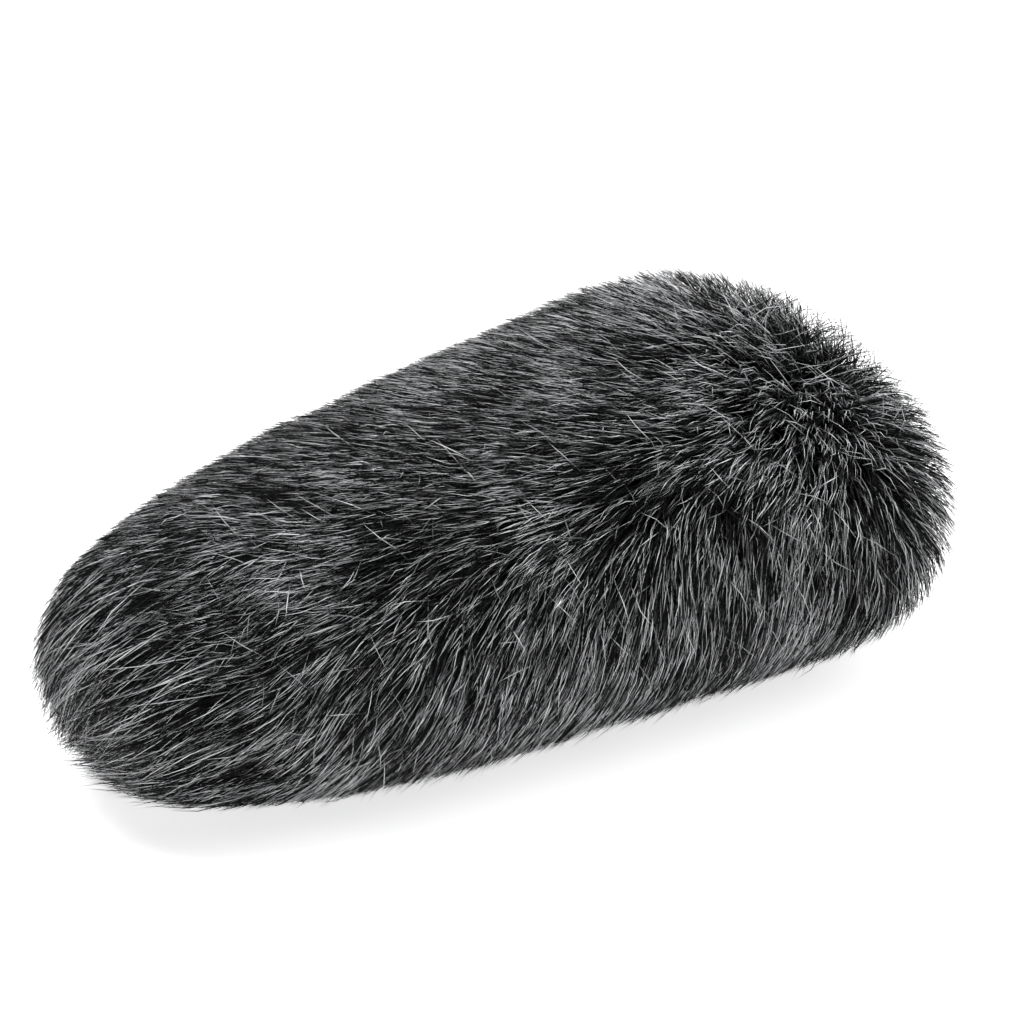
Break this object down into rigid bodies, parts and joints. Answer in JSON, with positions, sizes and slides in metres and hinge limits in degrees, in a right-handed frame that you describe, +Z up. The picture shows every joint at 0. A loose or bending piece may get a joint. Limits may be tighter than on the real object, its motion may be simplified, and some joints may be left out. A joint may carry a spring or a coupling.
{
  "type": "furry windscreen",
  "caption": "Long-pile fur cover with foam padding and an elastic mouth, over a foam insert that slides in and grips a microphone, against wind noise.",
  "frame": {"origin": "on the resting surface, under the middle of the whole length, on the centre plane", "axes": "+X along the windscreen towards its closed nose, +Y to the left seen from the open mouth, +Z up"},
  "size_m": [0.191, 0.1318, 0.0776],
  "materials": {
    "fur": "matte",
    "foam": "matte",
    "knit_lining": "matte",
    "seam_tape": "matte",
    "elastic": "satin",
    "crimp_steel": "satin",
    "collar_plastic": "matte",
    "grommet_rubber": "matte"
  },
  "bodies": {
    "fur_cover": {"fur_top_panel": "fur", "fur_left_panel": "fur", "fur_belly_panel": "fur", "fur_right_panel": "fur", "fur_nose_panel": "fur", "fur_hem_band": "fur", "seam_tape_top_left": "seam_tape", "seam_tape_top_right": "seam_tape", "seam_tape_belly_right": "seam_tape", "seam_tape_belly_left": "seam_tape", "seam_tape_nose": "seam_tape", "foam_pad_top": "foam", "foam_pad_left": "foam", "foam_pad_belly": "foam", "foam_pad_right": "foam", "foam_pad_nose": "foam", "pocket_lining": "knit_lining", "hem_casing": "knit_lining", "hem_elastic": "elastic", "elastic_crimp": "crimp_steel"},
    "foam_insert": {"foam_sleeve_upper": "foam", "foam_sleeve_lower": "foam", "foam_nose_plug": "foam", "bore_liner": "knit_lining", "end_collar": "collar_plastic", "mic_grommet": "grommet_rubber"}
  },
  "joints": [
    {"name": "insert_slide", "type": "slide", "parent": "fur_cover", "child": "foam_insert", "axis": [-1, 0, 0], "range_m": [0, 0.17]}
  ]
}
